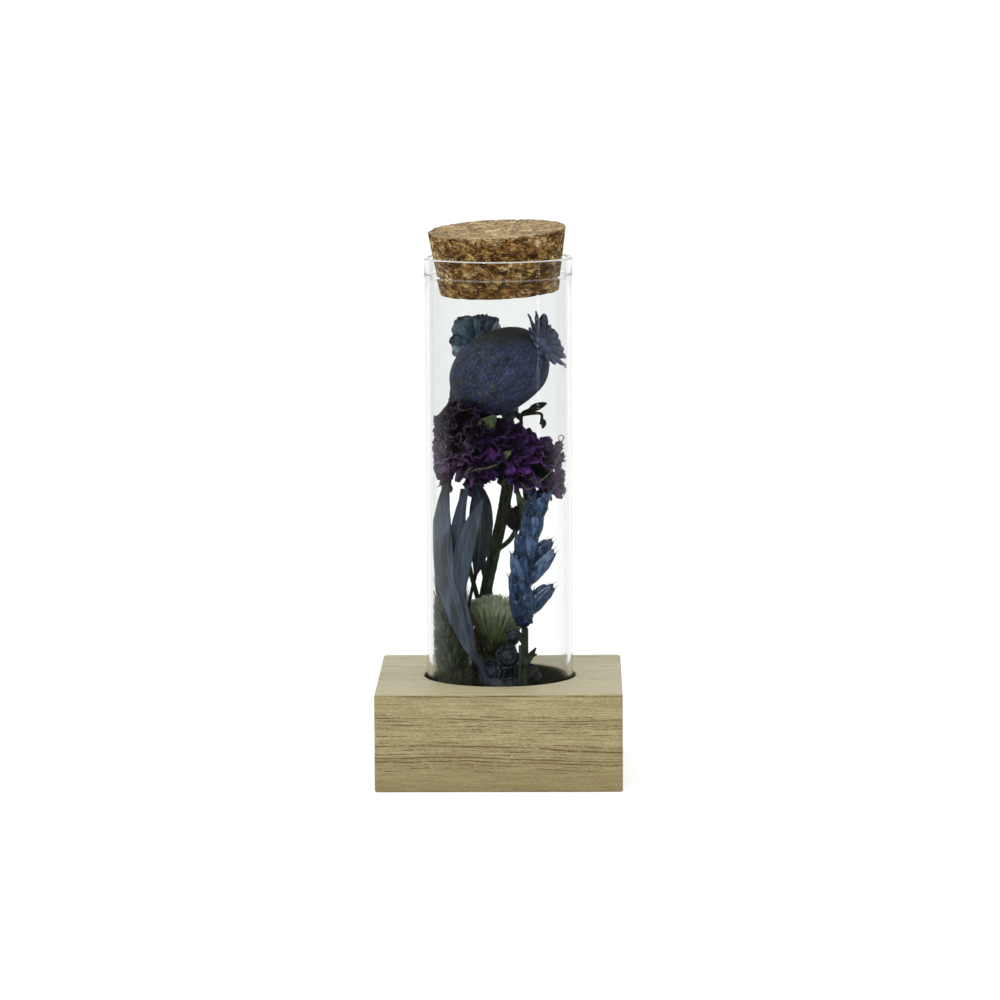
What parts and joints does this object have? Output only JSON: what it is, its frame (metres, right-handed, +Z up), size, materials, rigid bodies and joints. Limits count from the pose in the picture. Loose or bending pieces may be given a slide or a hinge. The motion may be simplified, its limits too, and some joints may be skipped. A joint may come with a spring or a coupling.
{
  "type": "dried flowers in a corked glass tube",
  "caption": "Dried poppy capsule, statice, wheat ear, brush-like bloom, grass and leaves in a corked glass tube that stands in a square wooden block.",
  "frame": {"origin": "centre of the block's underside, on the axis of the tube", "axes": "+Z up along the tube towards the cork, +X to the right along the block's front edge, +Y away from the front"},
  "size_m": [0.05, 0.05, 0.1137],
  "materials": {
    "pale_wood": "sanded, bare",
    "clear_glass": "clear, glossy",
    "cork": "matte, grained",
    "poppy_blue": "dry, dyed",
    "teal_petal": "dry, faint sheen",
    "bud_green": "dry",
    "statice_purple": "papery",
    "stem_green": "dry",
    "dark_stem": "dry",
    "leaf_grey": "dry, dyed",
    "wheat_blue": "dry, dyed, faint sheen",
    "brush_green": "dry",
    "bloom_blue": "dry, dyed",
    "grass_green": "dry, fuzzy"
  },
  "bodies": {
    "root": {"wood_block": "pale_wood", "glass_tube": "clear_glass", "cork_stopper": "cork", "poppy_capsule": "poppy_blue", "teal_head": "teal_petal", "small_bud": "bud_green", "statice_calyces": "statice_purple", "statice_stem": "stem_green", "young_calyx": "dark_stem", "dark_twig": "dark_stem", "leafy_sprig": "leaf_grey", "wheat_ear": "wheat_blue", "wheat_straws": "stem_green", "brush_base": "stem_green", "brush_florets": "brush_green", "blue_blooms": "bloom_blue", "grass_ear": "grass_green"}
  },
  "joints": []
}
